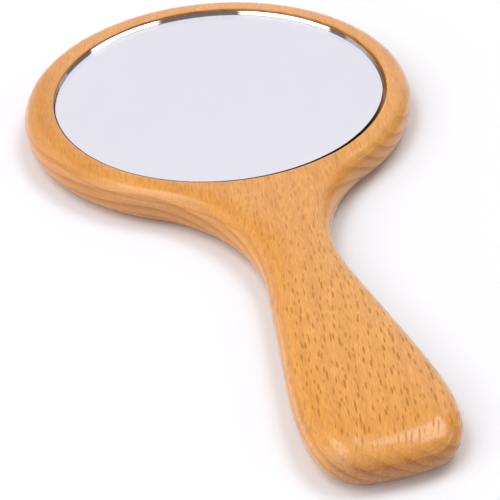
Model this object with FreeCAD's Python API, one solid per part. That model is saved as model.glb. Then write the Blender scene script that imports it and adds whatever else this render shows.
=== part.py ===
"""Wooden hand mirror, lying on its back, in millimetres.

The frame: +Z up through the mirror face, +Y along the handle towards the head, and the
origin on the table under the middle of the whole length.
"""
import FreeCAD, Part
import os
from math import atan2, cos, pi, sin, tan
from FreeCAD import Vector

# ---- driving dimensions: the wooden body -------------------------------------------
THICKNESS = 12.0            # over the flat top and the flat back
HEAD_RADIUS = 62.3          # widest outline of the round head
WAIST_HALF_WIDTH = 11.6     # narrowest place of the handle, just below the head
WAIST_DISTANCE = 93.8       # from the head's centre
FLARE_RADIUS = 61.0         # hollow curve below the waist
FLARE_ANGLE = 0.161         # radians, between each straight flank and the centre line
END_START = 131.0           # distance from the head's centre where the end starts to close
END_DISTANCE = 182.0        # distance from the head's centre to the tip of the handle
END_SQUARENESS = 3.2        # exponent of the rounded end: 2 is an ellipse, more is squarer

# The edge all round is one soft roll, with its widest line at about mid height.
WIDEST_HEIGHT = 5.9
TOP_ROLL = 5.0              # how far the rounding reaches in from the outline, on top
TIP_TOP_ROLL = 10.0         # the same at the tip, which is sanded down more
TIP_REACH = 1.5             # exponent: how quickly that longer rounding dies away round the end
BACK_ROLL = 9.0             # and on the back
ROLL_SQUARENESS = 2.3       # exponent of the roll's two quarter curves

# ---- driving dimensions: the seat, the glass and what holds it ---------------------
SEAT_RADIUS = 53.5
SEAT_SHIFT = Vector(0.9, -0.8, 0)       # the seat is milled slightly off the head's centre
LIP_CHAMFER = 0.5           # the sharp lip is eased with sandpaper
GLASS_RADIUS = 52.9
GLASS_THICKNESS = 2.0
GLASS_ARRIS = 0.15          # ground edge of the cut glass
GLASS_BELOW_LIP = 0.6
GLASS_SHIFT = Vector(-0.45, 0.27, 0)    # the disc almost touches one side of its seat
SILVER_THICKNESS = 0.04
PAINT_THICKNESS = 0.06
PAD_THICKNESS = 1.0
PAD_LENGTH = 25.0
PAD_WIDTH = 12.0
PAD_CORNER = 1.0
PAD_RING_RADIUS = 30.0      # the outer pads' centres lie on this circle
OUTER_PADS = 4

# ---- how finely the body's skin follows its formula --------------------------------
HEAD_STATIONS = 36
NECK_STATIONS = 16
FLARE_STATIONS = 6
FLANK_STATIONS = 6
END_STATIONS = 20
ROLL_RINGS = 21

# ---- places worked out from the above ----------------------------------------------
HEAD_CENTRE = Vector(0, (END_DISTANCE - HEAD_RADIUS) / 2, 0)
NECK_RADIUS = ((WAIST_HALF_WIDTH ** 2 + WAIST_DISTANCE ** 2 - HEAD_RADIUS ** 2)
               / (2 * (HEAD_RADIUS - WAIST_HALF_WIDTH)))     # touches the head and the waist
NECK_ANGLE = atan2(-WAIST_DISTANCE, WAIST_HALF_WIDTH + NECK_RADIUS)
FLARE_END = WAIST_DISTANCE + FLARE_RADIUS * sin(FLARE_ANGLE)
END_LENGTH = END_DISTANCE - END_START
GLASS_TOP = THICKNESS - GLASS_BELOW_LIP
SILVER_TOP = GLASS_TOP - GLASS_THICKNESS
PAINT_TOP = SILVER_TOP - SILVER_THICKNESS
PAD_TOP = PAINT_TOP - PAINT_THICKNESS
SEAT_HEIGHT = PAD_TOP - PAD_THICKNESS
SEAT_CENTRE = HEAD_CENTRE + SEAT_SHIFT
GLASS_CENTRE = SEAT_CENTRE + GLASS_SHIFT


def spread(start, end, count):
    """count values from start up to, but without, end."""
    return [start + (end - start) * i / count for i in range(count)]


# ---- the body's outline: (point, outward normal, top roll) from the head's centre --
def head_arc():
    """The round head, from its top down to where the neck touches it."""
    normals = [Vector(cos(angle), sin(angle), 0) for angle in spread(pi / 2, NECK_ANGLE, HEAD_STATIONS)]
    return [(normal * HEAD_RADIUS, normal, TOP_ROLL) for normal in normals]


def hollow_arc(radius, angles):
    """A hollow curve through the waist, whose centre lies outside the handle."""
    centre = Vector(WAIST_HALF_WIDTH + radius, -WAIST_DISTANCE, 0)
    normals = [Vector(cos(angle), sin(angle), 0) for angle in angles]
    return [(centre - normal * radius, normal, TOP_ROLL) for normal in normals]


def flank_half_width(distance):
    """Half width between the straight flanks at a distance from the head's centre."""
    width_at_flare_end = WAIST_HALF_WIDTH + FLARE_RADIUS * (1 - cos(FLARE_ANGLE))
    return width_at_flare_end + tan(FLARE_ANGLE) * (distance - FLARE_END)


def flank():
    """The straight side of the handle."""
    normal = Vector(cos(FLARE_ANGLE), sin(FLARE_ANGLE), 0)
    distances = spread(FLARE_END, END_START, FLANK_STATIONS)
    return [(Vector(flank_half_width(distance), -distance, 0), normal, TOP_ROLL)
            for distance in distances]


def rounded_end():
    """The flank drawn in to the tip by a superellipse."""
    stations = []
    for angle in spread(0, pi / 2, END_STATIONS):
        along = sin(angle) ** (2 / END_SQUARENESS)
        drawn_in = cos(angle) ** (2 / END_SQUARENESS)
        distance = END_START + along * END_LENGTH
        width = flank_half_width(distance)
        steepness = drawn_in ** (END_SQUARENESS - 1)
        widening = tan(FLARE_ANGLE) * drawn_in * steepness
        closing = width * along ** (END_SQUARENESS - 1) / END_LENGTH
        normal = Vector(steepness, widening - closing, 0).normalize()
        facing_tip = max(0.0, -normal.y) ** TIP_REACH
        top_roll = TOP_ROLL + (TIP_TOP_ROLL - TOP_ROLL) * facing_tip
        stations.append((Vector(width * drawn_in, -distance, 0), normal, top_roll))
    return stations


def outline():
    """The whole closed outline, clockwise from the top of the head."""
    right = (head_arc() + hollow_arc(NECK_RADIUS, spread(NECK_ANGLE, 0, NECK_STATIONS))
             + hollow_arc(FLARE_RADIUS, spread(0, FLARE_ANGLE, FLARE_STATIONS))
             + flank() + rounded_end())
    tip = [(Vector(0, -END_DISTANCE, 0), Vector(0, -1, 0), TIP_TOP_ROLL)]
    left = [(Vector(-point.x, point.y, 0), Vector(-normal.x, normal.y, 0), top_roll)
            for point, normal, top_roll in reversed(right[1:])]
    return right + tip + left


# ---- the wooden body ---------------------------------------------------------------
def ring(stations, knots, angle):
    """A closed smooth wire round the edge; the angle is -90 degrees at the flat back, 0 at the
    widest line and 90 degrees at the flat top."""
    on_top = angle > 0
    drawn_in = 1 - abs(cos(angle)) ** (2 / ROLL_SQUARENESS)
    rise = abs(sin(angle)) ** (2 / ROLL_SQUARENESS)
    height = WIDEST_HEIGHT + (THICKNESS - WIDEST_HEIGHT if on_top else -WIDEST_HEIGHT) * rise
    lift = HEAD_CENTRE + Vector(0, 0, height)
    points = [point - normal * drawn_in * (top_roll if on_top else BACK_ROLL) + lift
              for point, normal, top_roll in stations]
    curve = Part.BSplineCurve()
    curve.interpolate(Points=points, PeriodicFlag=True, Parameters=knots)
    return Part.Wire(curve.toShape())


def blank():
    """The shaped board before the mirror's seat is cut."""
    stations = outline()
    points = [point for point, _, _ in stations]
    knots = [0.0]
    for point, following in zip(points, points[1:] + points[:1]):
        knots.append(knots[-1] + point.distanceToPoint(following))
    swings = [pi * (i / (ROLL_RINGS - 1) - 0.5) for i in range(ROLL_RINGS)]
    return Part.makeLoft([ring(stations, knots, pi / 2 * sin(swing)) for swing in swings], True)


def wood_body():
    """One board from head to handle, with the round seat for the glass."""
    seat_depth = THICKNESS - SEAT_HEIGHT
    seat = Part.makeCylinder(SEAT_RADIUS, seat_depth, SEAT_CENTRE + Vector(0, 0, SEAT_HEIGHT))
    eased_lip = Part.makeCone(SEAT_RADIUS, SEAT_RADIUS + LIP_CHAMFER, LIP_CHAMFER,
                              SEAT_CENTRE + Vector(0, 0, THICKNESS - LIP_CHAMFER))
    return blank().cut(seat).cut(eased_lip)


# ---- the mirror and the pads that hold it ------------------------------------------
def disc(radius, bottom, top):
    """A round sheet under the mirror's face."""
    return Part.makeCylinder(radius, top - bottom, GLASS_CENTRE + Vector(0, 0, bottom))


def mirror_glass():
    """The glass disc, with its two ground arrises."""
    glass = disc(GLASS_RADIUS, SILVER_TOP, GLASS_TOP)
    rims = [edge for edge in glass.Edges if edge.Closed]
    return glass.makeChamfer(GLASS_ARRIS, rims)


def adhesive_pad(centre):
    """A foam pad with rounded corners, lying across the handle's direction."""
    pad = Part.makeBox(PAD_LENGTH, PAD_WIDTH, PAD_THICKNESS,
                       centre + Vector(-PAD_LENGTH / 2, -PAD_WIDTH / 2, SEAT_HEIGHT))
    corners = [edge for edge in pad.Edges if abs(edge.tangentAt(edge.FirstParameter).z) > 0.5]
    return pad.makeFillet(PAD_CORNER, corners)


def pad_centres():
    """One pad in the middle and the others evenly round it."""
    angles = [pi / OUTER_PADS + 2 * pi * i / OUTER_PADS for i in range(OUTER_PADS)]
    around = [Vector(cos(angle), sin(angle), 0) * PAD_RING_RADIUS for angle in angles]
    return [GLASS_CENTRE] + [GLASS_CENTRE + offset for offset in around]


# ---- one file for each piece -------------------------------------------------------
pieces = {
    "wood_body": wood_body(),
    "mirror_glass": mirror_glass(),
    "silver_layer": disc(GLASS_RADIUS - GLASS_ARRIS, PAINT_TOP, SILVER_TOP),
    "backing_paint": disc(GLASS_RADIUS - GLASS_ARRIS, PAD_TOP, PAINT_TOP),
}
for number, centre in enumerate(pad_centres(), start=1):
    pieces[f"adhesive_pad_{number}"] = adhesive_pad(centre)

os.makedirs("parts", exist_ok=True)
for name, shape in pieces.items():
    shape.exportStep(f"parts/{name}.step")
    box = shape.BoundBox
    print(f"{name}: {box.XLength:.2f} x {box.YLength:.2f} x {box.ZLength:.2f} mm,"
          f" volume {shape.Volume:.0f} mm3, valid {shape.isValid()}, solids {len(shape.Solids)}")
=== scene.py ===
"""Looks of the wooden hand mirror, in metres, in the frame of its CAD model.

+Z is up through the mirror's face, +Y runs along the handle to the head, and the origin is on
the table under the middle of the whole length. Distances along the outline are measured from
the head's centre, as in the CAD.
"""
import bpy
import bmesh
from math import atan2, cos, degrees, pi, radians, sin, tan
from mathutils import Matrix, Vector
from mathutils.geometry import intersect_point_line


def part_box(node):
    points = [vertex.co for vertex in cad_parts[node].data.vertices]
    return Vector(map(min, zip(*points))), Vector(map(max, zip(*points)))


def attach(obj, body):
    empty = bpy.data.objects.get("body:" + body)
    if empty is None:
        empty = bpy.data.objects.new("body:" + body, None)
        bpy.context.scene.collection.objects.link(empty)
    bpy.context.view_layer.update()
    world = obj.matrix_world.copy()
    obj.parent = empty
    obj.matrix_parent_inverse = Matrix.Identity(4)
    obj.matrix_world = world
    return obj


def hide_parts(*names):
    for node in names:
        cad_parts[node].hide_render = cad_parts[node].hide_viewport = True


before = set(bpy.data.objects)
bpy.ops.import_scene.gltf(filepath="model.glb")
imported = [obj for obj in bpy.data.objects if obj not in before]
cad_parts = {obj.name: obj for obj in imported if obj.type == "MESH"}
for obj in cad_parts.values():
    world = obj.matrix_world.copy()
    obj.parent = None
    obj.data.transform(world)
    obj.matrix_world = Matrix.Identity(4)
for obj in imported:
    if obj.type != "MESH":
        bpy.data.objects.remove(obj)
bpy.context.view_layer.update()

# ---- the board's shape -------------------------------------------------------------
LOW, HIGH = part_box("wood_body")
THICKNESS = HIGH.z
HEAD_RADIUS = HIGH.x
HEAD_CENTRE = Vector((0, HIGH.y - HEAD_RADIUS, 0))
END_DISTANCE = HEAD_CENTRE.y - LOW.y    # from the head's centre to the tip of the handle
WAIST_HALF_WIDTH = 0.0116
WAIST_DISTANCE = 0.0938
FLARE_RADIUS = 0.061
FLARE_ANGLE = 0.161                     # radians, between each flank and the centre line
END_START = 0.131                       # where the rounded end begins
END_SQUARENESS = 3.2
WIDEST_HEIGHT = 0.0059
TOP_ROLL = 0.005                        # how far the rounding reaches in from the outline
TIP_TOP_ROLL = 0.010
TIP_REACH = 1.5                         # how quickly the longer rounding dies away round the end
BACK_ROLL = 0.009
ROLL_SQUARENESS = 2.3
CROWN_REACH = 0.006                     # the face falls away softly before the rounding begins
CROWN_SLOPE = 0.12                      # how steep it has become there

NECK_RADIUS = ((WAIST_HALF_WIDTH ** 2 + WAIST_DISTANCE ** 2 - HEAD_RADIUS ** 2)
               / (2 * (HEAD_RADIUS - WAIST_HALF_WIDTH)))
NECK_ANGLE = atan2(-WAIST_DISTANCE, WAIST_HALF_WIDTH + NECK_RADIUS)
FLARE_END = WAIST_DISTANCE + FLARE_RADIUS * sin(FLARE_ANGLE)
END_LENGTH = END_DISTANCE - END_START

# ---- the seat and the glass --------------------------------------------------------
SEAT_CENTRE = HEAD_CENTRE + Vector((0.0009, -0.0008, 0))
SEAT_RADIUS = 0.0535
LIP_ROUNDING = 0.0005
SEAT_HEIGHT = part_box("adhesive_pad_1")[0].z
GLASS_LOW, GLASS_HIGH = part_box("mirror_glass")
GLASS_CENTRE = (GLASS_LOW + GLASS_HIGH) / 2
GLASS_RADIUS = GLASS_HIGH.x - GLASS_CENTRE.x
GLASS_ARRIS = 0.00015
GLASS_GAP = 0.00002                     # keeps the glass and the silver from sharing a surface
GLASS_WANDER = 0.0004                   # how far the cut edge strays, as a share of the radius
GLASS_WAVES = [(0.5, 37, 1.0), (0.3, 83, 2.0), (0.2, 131, 0.0)]     # (share, waves round, phase)

# ---- how fine the meshes are -------------------------------------------------------
HEAD_STATIONS = 72
NECK_STATIONS = 32
FLARE_STATIONS = 10
FLANK_STATIONS = 12
END_STATIONS = 32
ROLL_RINGS = 33
LAST_SEAT_STATION = HEAD_STATIONS + 13  # the handle's own rows begin after this station
LIP_STEPS = 5
SEAT_FLOOR_EDGE = 0.99                  # the floor's outermost ring, as a share of its radius
SHARP_GLASS_ANGLE = radians(30)
FACE_STEPS = END_STATIONS // 2          # from the roll's inner edge to the seat's lip
BACK_STEPS = 12
SEAT_FLOOR_STEPS = 6
GLASS_SEGMENTS = 360
PAPER_REACH = 3.0
PAPER_SEGMENTS = 48
PAPER_HEIGHT = -0.00005                 # just below the board's flat back

# ---- the wood's growth -------------------------------------------------------------
GRAIN_TURN = radians(10.0)              # the grain runs this much off the handle's line
PITH_DISTANCE = 0.110                   # the tree's centre, below the board
PITH_LEAN = radians(22.0)               # from straight below towards the left
RING_SPACING = 0.0028
GRAIN_LINE = (sin(GRAIN_TURN), cos(GRAIN_TURN), 0)
ARC_LINE = (cos(PITH_LEAN) * cos(GRAIN_TURN), -cos(PITH_LEAN) * sin(GRAIN_TURN), -sin(PITH_LEAN))
BENDS_SIZE = (6, 0, 6)                  # millimetres that the trunk's bends shift the rings

# How dense each pattern is for each millimetre; the second number is along the grain.
BENDS_STRETCH = (0.02, 0.006, 0.02)
FIBRES_STRETCH = (3.2, 0.25, 3.2)
PORES_STRETCH = (2.2, 0.5, 2.2)
CLOUDS_STRETCH = (0.06, 0.016, 0.06)

# Rays are marks in the cells of a pattern. Sizes are in millimetres, across and along the grain;
# the share is of the cells that hold a mark.
BIG_RAYS = {"cell": (1.55, 4.2), "half_width": 0.29, "half_length": 1.75, "share": 0.9}
SMALL_RAYS = {"cell": (1.2, 3.2), "half_width": 0.22, "half_length": 1.2, "share": 0.6}
SMALLEST_RAY = 0.65                     # of the full size
LONGEST_RAY = 2.0                       # times the usual length
RAY_EDGE = 0.5                          # how soft a mark's edge is

# ---- tones -------------------------------------------------------------------------
WARM_WOOD = (0.73, 0.320, 0.052)
PALE_WOOD = (0.79, 0.372, 0.076)
DARK_FIBRES = (0.54, 0.20, 0.038)
BRIGHT_FIBRES = (0.95, 0.47, 0.12)
EDGE_WOOD = (0.50, 0.185, 0.036)
LATE_WOOD = (0.43, 0.15, 0.03)
END_GRAIN = (0.31, 0.115, 0.042)
SMALL_RAY_TONE = (0.47, 0.175, 0.014)
BIG_RAY_TONE = (0.42, 0.155, 0.008)
CLEAR_GLASS = (0.99, 0.99, 0.99, 1)
GROUND_GLASS = [(0.82, 0.82, 0.84), (0.93, 0.93, 0.94)]
SILVER = [(0.945, 0.93, 0.94), (0.965, 0.95, 0.96)]
GREY_PAINT = [(0.16, 0.17, 0.18), (0.22, 0.23, 0.24)]
WHITE_FOAM = [(0.62, 0.62, 0.60), (0.80, 0.80, 0.78)]
WHITE_PAPER = (0.87, 0.905, 0.93, 1)

# ---- the camera and the light ------------------------------------------------------
CAMERA_PLACE = Vector((-0.10617, -0.42868, 0.30899))
CAMERA_TURN = radians(13.09)
CAMERA_TILT = radians(35.92)
CAMERA_ROLL = radians(-3.89)
CAMERA_LENS = 129.6
SENSOR_WIDTH = 36                       # in millimetres, as the lens

# The studio seen from the mirror: azimuths from +Y towards +X and elevations, in degrees, with a
# colour for each patch. Later patches lie over earlier ones.
GREY_ROOM = (0.64, 0.605, 0.625)
DARK_ROOM = (0.10, 0.08, 0.09)
DIM_ROOM = (0.22, 0.20, 0.22)
PATCH_EDGE = 3.0                        # degrees over which a patch fades, on each side
LIGHT_PATCHES = [
    (60, 200, -20, 110, DIM_ROOM),              # behind the camera and to its right
    (-200, -150, -20, 110, DIM_ROOM),
    (60, 200, 16, 44, DARK_ROOM),
    (-200, -60, 16, 44, DARK_ROOM),
    (-150, -60, -20, 16, (1.95, 1.86, 1.92)),   # low white card on the left
    (-20, 34, 41, 60, DARK_ROOM),               # gap between the wall and the softboxes
    (-12, 5, 26, 45, DARK_ROOM),
    (1.5, 50, -20, 40, (0.87, 0.865, 0.95)),    # grey wall that the mirror shows
    (-20, 10, 38.5, 60, DARK_ROOM),             # its upper left corner is in shade
    (35, 100, 50, 73, (5.1, 4.98, 5.03)),       # overhead softbox on the right
    (-140, -72, 34, 60, (2.00, 1.94, 1.97)),    # soft edge below the left softbox
    (-125, -20, 59, 84, (3.7, 3.60, 3.65)),     # overhead softbox on the left
    (-147, -77, 25, 37, (2.4, 2.34, 2.36)),     # windows to the left and the right of the camera
    (93, 153, 25, 37, (2.4, 2.34, 2.36)),
]


# ---- meshes ------------------------------------------------------------------------
class Skin:
    """Points and faces of one piece."""

    def __init__(self):
        self.points = []
        self.faces = []

    def row(self, points):
        """Adds points, and returns their numbers."""
        first = len(self.points)
        self.points.extend(points)
        return list(range(first, len(self.points)))

    def strip(self, row, following):
        """Quads between two rows of the same length."""
        for corners in zip(row, row[1:], following[1:], following):
            self.faces.append(tuple(dict.fromkeys(corners)))

    def band(self, row, following):
        """Quads between two closed rows of the same length."""
        self.strip(row + row[:1], following + following[:1])

    def fan(self, row, tip):
        """Triangles between a row and one point."""
        for a, b in zip(row, row[1:]):
            self.faces.append((a, b, tip))

    def piece(self, name, smooth_angle=pi):
        """The finished object; edges sharper than the angle stay sharp."""
        mesh = bpy.data.meshes.new(name)
        mesh.from_pydata([tuple(point) for point in self.points], [], self.faces)
        shape = bmesh.new()
        shape.from_mesh(mesh)
        bmesh.ops.recalc_face_normals(shape, faces=shape.faces)
        shape.to_mesh(mesh)
        shape.free()
        mesh.shade_smooth()
        mesh.set_sharp_from_angle(angle=smooth_angle)
        thing = bpy.data.objects.new(name, mesh)
        bpy.context.scene.collection.objects.link(thing)
        return thing


def spread(start, end, count):
    """count values from start up to, but without, end."""
    return [start + (end - start) * i / count for i in range(count)]


def direction(angle):
    """The unit vector in the plane at an angle from +X."""
    return Vector((cos(angle), sin(angle), 0))


def head_arc():
    """The round head, from its top down to the neck: (point, outward normal, top roll)."""
    normals = [direction(angle) for angle in spread(pi / 2, NECK_ANGLE, HEAD_STATIONS)]
    return [(normal * HEAD_RADIUS, normal, TOP_ROLL) for normal in normals]


def hollow_arc(radius, angles):
    """A hollow curve through the waist."""
    centre = Vector((WAIST_HALF_WIDTH + radius, -WAIST_DISTANCE, 0))
    return [(centre - direction(angle) * radius, direction(angle), TOP_ROLL)
            for angle in angles]


def flank_half_width(distance):
    """Half width between the straight flanks at a distance from the head's centre."""
    width_at_flare_end = WAIST_HALF_WIDTH + FLARE_RADIUS * (1 - cos(FLARE_ANGLE))
    return width_at_flare_end + tan(FLARE_ANGLE) * (distance - FLARE_END)


def flank():
    """The straight side of the handle."""
    return [(Vector((flank_half_width(distance), -distance, 0)), direction(FLARE_ANGLE), TOP_ROLL)
            for distance in spread(FLARE_END, END_START, FLANK_STATIONS)]


def rounded_end():
    """The flank drawn in to the tip by a superellipse."""
    stations = []
    for angle in spread(0, pi / 2, END_STATIONS):
        along = sin(angle) ** (2 / END_SQUARENESS)
        drawn_in = cos(angle) ** (2 / END_SQUARENESS)
        distance = END_START + along * END_LENGTH
        width = flank_half_width(distance)
        steepness = drawn_in ** (END_SQUARENESS - 1)
        widening = tan(FLARE_ANGLE) * drawn_in * steepness
        closing = width * along ** (END_SQUARENESS - 1) / END_LENGTH
        normal = Vector((steepness, widening - closing, 0)).normalized()
        facing_tip = max(0.0, -normal.y) ** TIP_REACH
        top_roll = TOP_ROLL + (TIP_TOP_ROLL - TOP_ROLL) * facing_tip
        stations.append((Vector((width * drawn_in, -distance, 0)), normal, top_roll))
    return stations


def right_outline():
    """The outline's right half, from the head's top to the handle's tip."""
    tip = (Vector((0, -END_DISTANCE, 0)), Vector((0, -1, 0)), TIP_TOP_ROLL)
    return (head_arc() + hollow_arc(NECK_RADIUS, spread(NECK_ANGLE, 0, NECK_STATIONS))
            + hollow_arc(FLARE_RADIUS, spread(0, FLARE_ANGLE, FLARE_STATIONS))
            + flank() + rounded_end() + [tip])


def closed(right):
    """The right half with its mirror image, clockwise from the head's top."""
    left = [(Vector((-point.x, point.y, 0)), Vector((-normal.x, normal.y, 0)), top_roll)
            for point, normal, top_roll in reversed(right[1:-1])]
    return right + left


def crown(inside):
    """How far the face has sunk at a distance inside the roll's inner edge."""
    return CROWN_SLOPE * max(0.0, CROWN_REACH - inside) ** 2 / (2 * CROWN_REACH)


def roll_ring(stations, angle):
    """The board's edge at one angle of its roll: -90 degrees at the flat back, 0 at the widest
    line and 90 degrees at the flat top."""
    on_top = angle > 0
    drawn_in = 1 - abs(cos(angle)) ** (2 / ROLL_SQUARENESS)
    rise = abs(sin(angle)) ** (2 / ROLL_SQUARENESS)
    ring = []
    for point, normal, top_roll in stations:
        if on_top:
            sunk = crown(0) + CROWN_SLOPE * (1 - drawn_in) * top_roll
            height = WIDEST_HEIGHT + (THICKNESS - WIDEST_HEIGHT - sunk) * rise
        else:
            height = WIDEST_HEIGHT * (1 - rise)
        inset = drawn_in * (top_roll if on_top else BACK_ROLL)
        ring.append(HEAD_CENTRE + point - normal * inset + Vector((0, 0, height)))
    return ring


def between(start, end, steps, height):
    """The points between two points, without both, all at one height."""
    spots = [start.lerp(end, i / steps) for i in range(1, steps)]
    return [Vector((spot.x, spot.y, height)) for spot in spots]


def flat_back(skin, ring):
    """Rows from the right side to the left side of the back."""
    half = len(ring) // 2
    rows = []
    for right, left in zip(ring[1:half], reversed(ring[half + 1:])):
        inner = between(skin.points[right], skin.points[left], BACK_STEPS, 0)
        rows.append([right] + skin.row(inner) + [left])
    for row, following in zip(rows, rows[1:]):
        skin.strip(row, following)
    skin.fan(rows[0], ring[0])
    skin.fan(rows[-1], ring[half])


def seat_angle(station):
    """Where on the lip the face's line from a station of the outline arrives."""
    if station <= HEAD_STATIONS:
        return pi / 2 + (NECK_ANGLE - pi / 2) * station / HEAD_STATIONS
    share = (station - HEAD_STATIONS) / (LAST_SEAT_STATION - HEAD_STATIONS)
    return NECK_ANGLE + (-pi / 2 - NECK_ANGLE) * share


def seat_rings(skin):
    """The rounded lip, the wall and the floor of the seat, from the lip inwards."""
    rounding = [(SEAT_RADIUS + LIP_ROUNDING * (1 - sin(turn)),
                 THICKNESS - LIP_ROUNDING * (1 - cos(turn)))
                for turn in spread(0, pi / 2, LIP_STEPS)]
    floor = [(SEAT_RADIUS * share, SEAT_HEIGHT)
             for share in spread(SEAT_FLOOR_EDGE, 0, SEAT_FLOOR_STEPS)]
    profile = ([(SEAT_RADIUS + 2 * LIP_ROUNDING, THICKNESS)] + rounding
               + [(SEAT_RADIUS, THICKNESS - 2 * LIP_ROUNDING),
                  (SEAT_RADIUS, SEAT_HEIGHT + LIP_ROUNDING),
                  (SEAT_RADIUS, SEAT_HEIGHT),
                  (SEAT_RADIUS - LIP_ROUNDING, SEAT_HEIGHT)] + floor)
    right = [seat_angle(station) for station in range(LAST_SEAT_STATION + 1)]
    angles = right + [pi - angle for angle in reversed(right[1:-1])]
    return [skin.row([SEAT_CENTRE + direction(angle) * radius + Vector((0, 0, height))
                      for angle in angles]) for radius, height in profile]


def flat_face(skin, ring, lip):
    """Lines from the roll's inner edge to the lip, then rows across the handle."""
    half = len(ring) // 2
    last = LAST_SEAT_STATION
    stations = list(range(last + 1)) + list(range(len(ring) - last, len(ring)))
    lip_points = lip[:last + 1] + lip[last:]
    lines = []
    for station, end in zip(stations, lip_points):
        inner = between(skin.points[ring[station]], skin.points[end], FACE_STEPS, THICKNESS)
        lines.append([ring[station]] + skin.row(inner) + [end])
    for line, following in zip(lines, lines[1:] + lines[:1]):
        if line[0] != ring[last]:
            skin.strip(line, following)
    bend = lines[last] + lines[last + 1][-2::-1]
    peak = skin.points[lip[last]].y - skin.points[ring[last]].y
    rows = [bend]
    for station in range(last + 1, half - FACE_STEPS + 1):
        inner = between(skin.points[ring[station]], skin.points[ring[-station]], 2 * FACE_STEPS,
                        THICKNESS)
        rise = peak * max(0.0, 1 - (station - last) / (FLARE_STATIONS + FLANK_STATIONS))
        for step, point in enumerate(inner, start=1):
            point.y += rise * (1 - abs(step / FACE_STEPS - 1))
        rows.append([ring[station]] + skin.row(inner) + [ring[-station]])
    round_the_end = ring[half - FACE_STEPS:half + FACE_STEPS + 1]
    for row, following in zip(rows, rows[1:] + [round_the_end]):
        skin.strip(row, following)


def distance_to(point, ring):
    """The shortest way in the plane from a point to a closed row of points."""
    nearest = HEAD_RADIUS
    for start, end in zip(ring, ring[1:] + ring[:1]):
        foot, share = intersect_point_line(point.xy, start.xy, end.xy)
        foot = start.xy.lerp(end.xy, min(1.0, max(0.0, share)))
        nearest = min(nearest, (foot - point.xy).length)
    return nearest


def sink_the_face(skin, first, ring):
    """Lets the face fall away softly towards the roll; its points start at the first one."""
    edge = [skin.points[number] for number in ring]
    for point in skin.points[first:]:
        if point.z > THICKNESS - LIP_ROUNDING:
            point.z -= crown(distance_to(point, edge))


def wooden_board():
    """The whole board, with its rolled edge and its seat."""
    skin = Skin()
    stations = closed(right_outline())
    swings = [pi * (i / (ROLL_RINGS - 1) - 0.5) for i in range(ROLL_RINGS)]
    rings = [skin.row(roll_ring(stations, pi / 2 * sin(swing))) for swing in swings]
    for ring, following in zip(rings, rings[1:]):
        skin.band(ring, following)
    flat_back(skin, rings[0])
    first_of_face = len(skin.points)
    seat = seat_rings(skin)
    for ring, following in zip(seat, seat[1:]):
        skin.band(ring, following)
    skin.fan(seat[-1] + seat[-1][:1], skin.row([SEAT_CENTRE + Vector((0, 0, SEAT_HEIGHT))])[0])
    flat_face(skin, rings[-1], seat[0])
    sink_the_face(skin, first_of_face, rings[-1])
    return skin.piece("board")


def glass_radius(angle):
    """The cut edge of the disc isn't perfectly round."""
    wander = sum(share * sin(waves * angle + phase) for share, waves, phase in GLASS_WAVES)
    return GLASS_RADIUS * (1 + GLASS_WANDER * (wander - 1))


def glass_disc():
    """The float glass, with its two arrises."""
    skin = Skin()
    low = GLASS_LOW.z + GLASS_GAP
    high = GLASS_HIGH.z
    centre = Vector((GLASS_CENTRE.x, GLASS_CENTRE.y, 0))
    profile = [(-GLASS_ARRIS, low), (0, low + GLASS_ARRIS),
               (0, high - GLASS_ARRIS), (-GLASS_ARRIS, high)]
    angles = spread(0, 2 * pi, GLASS_SEGMENTS)
    rings = [skin.row([centre + direction(angle) * (glass_radius(angle) + inset)
                       + Vector((0, 0, height)) for angle in angles]) for inset, height in profile]
    for ring, following in zip(rings, rings[1:]):
        skin.band(ring, following)
    skin.fan(rings[0] + rings[0][:1], skin.row([centre + Vector((0, 0, low))])[0])
    skin.fan(rings[-1] + rings[-1][:1], skin.row([centre + Vector((0, 0, high))])[0])
    glass = skin.piece("glass", SHARP_GLASS_ANGLE)
    # Of the edge's three bands, the upper arris has the ground look.
    for number, face in enumerate(glass.data.polygons):
        face.material_index = int(2 * GLASS_SEGMENTS <= number < 3 * GLASS_SEGMENTS)
    return glass


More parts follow.
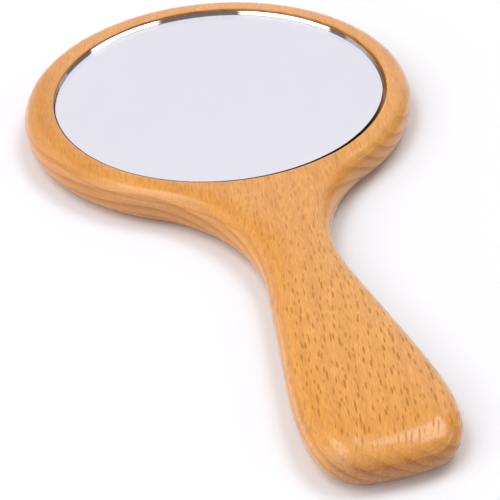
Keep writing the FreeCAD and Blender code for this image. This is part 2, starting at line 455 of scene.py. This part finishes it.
# ---- shader nodes ------------------------------------------------------------------
class Nodes:
    """Builds a node tree by calls, which return the new node's output."""

    def __init__(self, tree):
        self.tree = tree
        tree.nodes.clear()

    def add(self, kind, inputs, **settings):
        """A node with its inputs linked or set; this one call returns the node itself."""
        node = self.tree.nodes.new("ShaderNode" + kind)
        for name, value in settings.items():
            setattr(node, name, value)
        for name, value in inputs.items():
            socket = node.inputs[name]
            if isinstance(value, bpy.types.NodeSocket):
                self.tree.links.new(value, socket)
            else:
                socket.default_value = value
        return node

    def math(self, operation, first, second=0.0):
        """A sum, product or function of numbers."""
        return self.add("Math", {0: first, 1: second}, operation=operation).outputs[0]

    def product(self, first, *others):
        """Numbers multiplied together."""
        for other in others:
            first = self.math("MULTIPLY", first, other)
        return first

    def vector(self, operation, first, second=(0, 0, 0), output="Vector"):
        """A sum, product or function of vectors."""
        inputs = {0: first, 1: second}
        return self.add("VectorMath", inputs, operation=operation).outputs[output]

    def ease(self, value, start, end, low=0.0, high=1.0):
        """A smooth step of a value from start to end."""
        inputs = {"Value": value, "From Min": start, "From Max": end,
                  "To Min": low, "To Max": high}
        return self.add("MapRange", inputs, interpolation_type="SMOOTHSTEP").outputs[0]

    def mix(self, share, first, second):
        """A mix of two colours."""
        node = self.add("Mix", {0: share}, data_type="RGBA")
        for socket, value in ((node.inputs[6], first), (node.inputs[7], second)):
            if isinstance(value, bpy.types.NodeSocket):
                self.tree.links.new(value, socket)
            else:
                socket.default_value = (*value, 1)
        return node.outputs[2]

    def noise(self, vector, scale, detail=3.0, roughness=0.5):
        """Cloudy values about 0.5."""
        inputs = {"Vector": vector, "Scale": scale, "Detail": detail, "Roughness": roughness}
        return self.add("TexNoise", inputs).outputs["Fac"]

    def stretched(self, vector, factors):
        """The vector with each part multiplied by its factor."""
        return self.vector("MULTIPLY", vector, factors)

    def bump(self, height, strength, distance):
        """The surface's normal with a fine relief; the distance is in metres."""
        inputs = {"Height": height, "Strength": strength, "Distance": distance}
        return self.add("Bump", inputs).outputs[0]


def material(name):
    """A new material with an empty node tree."""
    made = bpy.data.materials.new(name)
    made.use_nodes = True
    return made, Nodes(made.node_tree)


def principled(nodes, inputs, bump=None):
    """The surface shader and the material's output."""
    if bump is not None:
        inputs = {**inputs, "Normal": bump}
    surface = nodes.add("BsdfPrincipled", inputs).outputs[0]
    nodes.add("OutputMaterial", {"Surface": surface})


def object_position(nodes):
    """Position in millimetres in the object's own frame."""
    place = nodes.add("TexCoord", {}).outputs["Object"]
    return nodes.stretched(place, (1000, 1000, 1000))


def dashes(nodes, plane, cell, half_width, half_length, share):
    """Spindle marks, one in some of the cells of a stretched pattern: 1 inside, 0 outside."""
    scaled = nodes.stretched(plane, (1 / cell[0], 1 / cell[1], 1))
    cells = nodes.add("TexVoronoi", {"Vector": scaled, "Scale": 1.0},
                      voronoi_dimensions="2D").outputs
    chance = nodes.add("SeparateColor", {"Color": cells["Color"]}).outputs
    offset = nodes.vector("SUBTRACT", scaled, cells["Position"])
    offset = nodes.stretched(offset, (cell[0] / half_width, cell[1] / half_length, 0))
    along = nodes.ease(chance[2], 0.4, 1.0, 1.0, 1 / LONGEST_RAY)
    lengthened = nodes.add("CombineXYZ", {"X": 1.0, "Y": along}).outputs[0]
    distance = nodes.vector("LENGTH", nodes.stretched(offset, lengthened), output="Value")
    size = nodes.product(nodes.ease(chance[0], 1 - share, 1.1 - share),
                         nodes.ease(chance[1], 0.0, 1.0, SMALLEST_RAY, 1.0))
    return nodes.ease(nodes.math("SUBTRACT", size, distance), 0.0, RAY_EDGE)


def grain_position(nodes):
    """Position in millimetres, turned so that +Y runs along the grain."""
    inputs = {"Vector": object_position(nodes), "Angle": GRAIN_TURN}
    return nodes.add("VectorRotate", inputs, rotation_type="Z_AXIS").outputs[0]


def grown_position(nodes, along_grain):
    """The three parts of the position, shifted by the slow bends of a grown trunk."""
    inputs = {"Vector": nodes.stretched(along_grain, BENDS_STRETCH), "Scale": 1.0, "Detail": 2.0}
    bends = nodes.add("TexNoise", inputs).outputs["Color"]
    grown = nodes.vector("ADD", along_grain, nodes.stretched(bends, BENDS_SIZE))
    return nodes.add("SeparateXYZ", {"Vector": grown}).outputs


def late_wood(nodes, across, above):
    """Growth rings: a slow rise from 0 to 1 and a quick fall at each year's end."""
    squares = nodes.math("ADD", nodes.product(across, across), nodes.product(above, above))
    radius = nodes.math("SQRT", squares)
    year = nodes.math("FRACT", nodes.math("DIVIDE", radius, 1000 * RING_SPACING))
    return nodes.product(nodes.ease(year, 0.35, 0.9), nodes.ease(year, 1.0, 0.93))


def facing(nodes, normal, line):
    """1 where the surface is square to a line, 0 where it runs along it."""
    return nodes.math("ABSOLUTE", nodes.vector("DOT_PRODUCT", normal, line, output="Value"))


def plain_wood(nodes, along_grain, fibres, sideways):
    """The wood's tone without rings and rays, a little darker at the head's left edge."""
    clouds = nodes.noise(nodes.stretched(along_grain, CLOUDS_STRETCH), 1.0, 2.0)
    tone = nodes.mix(nodes.ease(clouds, 0.3, 0.7), WARM_WOOD, PALE_WOOD)
    tone = nodes.mix(nodes.ease(fibres, 0.35, 0.75, 0.0, 0.40), tone, DARK_FIBRES)
    tone = nodes.mix(nodes.ease(fibres, 0.5, 0.3, 0.0, 0.45), tone, BRIGHT_FIBRES)
    return nodes.mix(nodes.ease(sideways, -38.0, -58.0, 0.0, 0.25), tone, EDGE_WOOD)


def beech():
    """Pale red-brown beech under a clear lacquer, with its dark rays."""
    made, nodes = material("beech")
    along_grain = grain_position(nodes)
    grown = grown_position(nodes, along_grain)
    across = nodes.math("ADD", grown[0], 1000 * PITH_DISTANCE * sin(PITH_LEAN))
    above = nodes.math("ADD", grown[2], 1000 * PITH_DISTANCE * cos(PITH_LEAN))
    normal = nodes.add("TexCoord", {}).outputs["Normal"]
    facing_up = nodes.add("SeparateXYZ", {"Vector": normal}).outputs[2]
    facing_end = facing(nodes, normal, GRAIN_LINE)
    fibres = nodes.noise(nodes.stretched(along_grain, FIBRES_STRETCH), 1.0, 4.0, 0.65)
    tone = plain_wood(nodes, along_grain, fibres, grown[0])

    # Growth rings show more on the sides than on the face.
    late = late_wood(nodes, across, above)
    ring_strength = nodes.ease(facing_up, 0.3, 0.95, 0.6, 0.12)
    tone = nodes.mix(nodes.product(late, ring_strength), tone, LATE_WOOD)

    # End grain drinks more lacquer: it is darker, most of all in late wood. It is also made darker
    # towards the handle's end.
    pores = nodes.noise(nodes.stretched(along_grain, PORES_STRETCH), 1.0, 3.0, 0.7)
    darker_end_grain = nodes.product(nodes.ease(facing_end, 0.25, 1.0),
                           nodes.ease(pores, 0.35, 0.65, 0.48, 0.92),
                           nodes.ease(grown[1], -90.0, -20.0, 1.0, 0.66),
                           nodes.ease(late, 0.0, 1.0, 0.92, 1.15))
    tone = nodes.mix(darker_end_grain, tone, END_GRAIN)

    # Rays lie in sheets about the tree's centre. They fade on end grain, where the surface runs
    # along them, and towards the head; the small ones show most on the sides.
    arc = nodes.product(nodes.math("ARCTAN2", across, above), 1000 * PITH_DISTANCE)
    plane = nodes.add("CombineXYZ", {"X": arc, "Y": grown[1], "Z": 0.0}).outputs[0]
    strength = nodes.product(nodes.ease(facing_end, 0.05, 0.5, 0.76, 0.22),
                             nodes.ease(facing(nodes, normal, ARC_LINE), 0.45, 0.9, 1.0, 0.5),
                             nodes.ease(grown[1], -90.0, 45.0, 1.1, 0.4))
    on_sides = nodes.ease(facing_up, 0.3, 0.9, 0.95, 0.45)
    small_rays = nodes.product(dashes(nodes, plane, **SMALL_RAYS), strength, on_sides)
    big_marks = dashes(nodes, plane, **BIG_RAYS)
    big_rays = nodes.product(big_marks, strength)
    tone = nodes.mix(small_rays, tone, SMALL_RAY_TONE)
    tone = nodes.mix(big_rays, tone, BIG_RAY_TONE)

    relief = nodes.math("SUBTRACT", nodes.product(fibres, 0.4), big_marks)
    principled(nodes, {"Base Color": tone, "Roughness": nodes.ease(fibres, 0.2, 0.8, 0.34, 0.44),
                       "Coat Weight": nodes.ease(big_rays, 0.0, 0.8, 0.65, 0.1),
                       "Coat Roughness": 0.13, "Specular IOR Level": 0.3},
               nodes.bump(relief, 0.10, 0.0001))
    return made


def clear_glass():
    """Polished float glass."""
    made, nodes = material("float_glass")
    principled(nodes, {"Base Color": CLEAR_GLASS, "Roughness": 0.0, "IOR": 1.5,
                       "Transmission Weight": 1.0})
    return made


def ground_glass():
    """The arris ground with a stone: matt and pale."""
    made, nodes = material("ground_glass")
    grit = nodes.noise(object_position(nodes), 8.0, 2.0)
    tone = nodes.mix(grit, *GROUND_GLASS)
    principled(nodes, {"Base Color": tone, "Roughness": 0.5, "IOR": 1.5})
    return made


def silvering():
    """Wet-deposited silver seen through the glass."""
    made, nodes = material("silvering")
    haze = nodes.noise(object_position(nodes), 0.03, 3.0)
    tone = nodes.mix(haze, *SILVER)
    principled(nodes, {"Base Color": tone, "Roughness": 0.02, "Metallic": 1.0})
    return made


def back_paint():
    """Grey protective paint, rolled on."""
    made, nodes = material("back_paint")
    grain = nodes.noise(object_position(nodes), 2.0, 4.0, 0.6)
    tone = nodes.mix(grain, *GREY_PAINT)
    principled(nodes, {"Base Color": tone, "Roughness": 0.6}, nodes.bump(grain, 0.3, 0.0001))
    return made


def foam():
    """White closed-cell foam tape."""
    made, nodes = material("foam_tape")
    inputs = {"Vector": object_position(nodes), "Scale": 3.5}
    pores = nodes.add("TexVoronoi", inputs).outputs["Distance"]
    tone = nodes.mix(nodes.ease(pores, 0.1, 0.6), *WHITE_FOAM)
    principled(nodes, {"Base Color": tone, "Roughness": 0.9}, nodes.bump(pores, 0.5, 0.0002))
    return made


def paint_with(thing, made):
    """Gives a piece this material alone."""
    thing.data.materials.clear()
    thing.data.materials.append(made)


# ---- the pieces --------------------------------------------------------------------
def stand_in(thing, node, made):
    """The detailed piece is shown in place of its CAD node."""
    paint_with(thing, made)
    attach(thing, "root")
    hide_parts(node)


stand_in(wooden_board(), "wood_body", beech())
mirror = glass_disc()
stand_in(mirror, "mirror_glass", clear_glass())
mirror.data.materials.append(ground_glass())
paint_with(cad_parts["silver_layer"], silvering())
paint_with(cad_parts["backing_paint"], back_paint())
tape = foam()
for name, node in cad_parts.items():
    if name.startswith("adhesive_pad"):
        paint_with(node, tape)


# ---- floor, light and camera -------------------------------------------------------
def white_floor():
    """A round sheet of white paper."""
    skin = Skin()
    angles = spread(0, 2 * pi, PAPER_SEGMENTS)
    edge = skin.row([direction(angle) * PAPER_REACH for angle in angles])
    skin.fan(edge + edge[:1], skin.row([Vector((0, 0, 0))])[0])
    floor = skin.piece("floor")
    floor.location.z = PAPER_HEIGHT
    made, nodes = material("white_paper")
    principled(nodes, {"Base Color": WHITE_PAPER, "Roughness": 0.9, "Specular IOR Level": 0.1})
    paint_with(floor, made)


def window(nodes, value, start, end):
    """1 between start and end, with soft sides."""
    rise = nodes.ease(value, start - PATCH_EDGE, start + PATCH_EDGE)
    fall = nodes.ease(value, end + PATCH_EDGE, end - PATCH_EDGE)
    return nodes.product(rise, fall)


def studio_light():
    """A grey room with a few large softboxes."""
    world = bpy.data.worlds.new("studio")
    bpy.context.scene.world = world
    world.use_nodes = True
    nodes = Nodes(world.node_tree)
    way = nodes.add("TexCoord", {}).outputs["Generated"]
    parts = nodes.add("SeparateXYZ", {"Vector": way}).outputs
    azimuth = nodes.product(nodes.math("ARCTAN2", parts[0], parts[1]), degrees(1))
    elevation = nodes.product(nodes.math("ARCSINE", parts[2]), degrees(1))
    colour = GREY_ROOM
    for left, right, low, high, patch in LIGHT_PATCHES:
        inside = nodes.product(window(nodes, azimuth, left, right),
                               window(nodes, elevation, low, high))
        colour = nodes.mix(inside, colour, patch)
    background = nodes.add("Background", {"Color": colour, "Strength": 1.0}).outputs[0]
    nodes.add("OutputWorld", {"Surface": background})


def camera():
    """Looks down at the mirror from beyond the end of its handle."""
    forward = Vector((sin(CAMERA_TURN) * cos(CAMERA_TILT), cos(CAMERA_TURN) * cos(CAMERA_TILT),
                      -sin(CAMERA_TILT)))
    level = Vector((cos(CAMERA_TURN), -sin(CAMERA_TURN), 0))
    upright = level.cross(forward)
    right = level * cos(CAMERA_ROLL) + upright * sin(CAMERA_ROLL)
    up = upright * cos(CAMERA_ROLL) - level * sin(CAMERA_ROLL)
    data = bpy.data.cameras.new("camera")
    data.lens = CAMERA_LENS
    data.sensor_width = SENSOR_WIDTH
    data.clip_start = 0.01
    data.clip_end = 20
    seen_from = bpy.data.objects.new("camera", data)
    axes = Matrix((right, up, -forward)).transposed()
    seen_from.matrix_world = Matrix.Translation(CAMERA_PLACE) @ axes.to_4x4()
    bpy.context.scene.collection.objects.link(seen_from)
    bpy.context.scene.camera = seen_from


white_floor()
studio_light()
camera()
bpy.context.scene.view_settings.view_transform = "Standard"
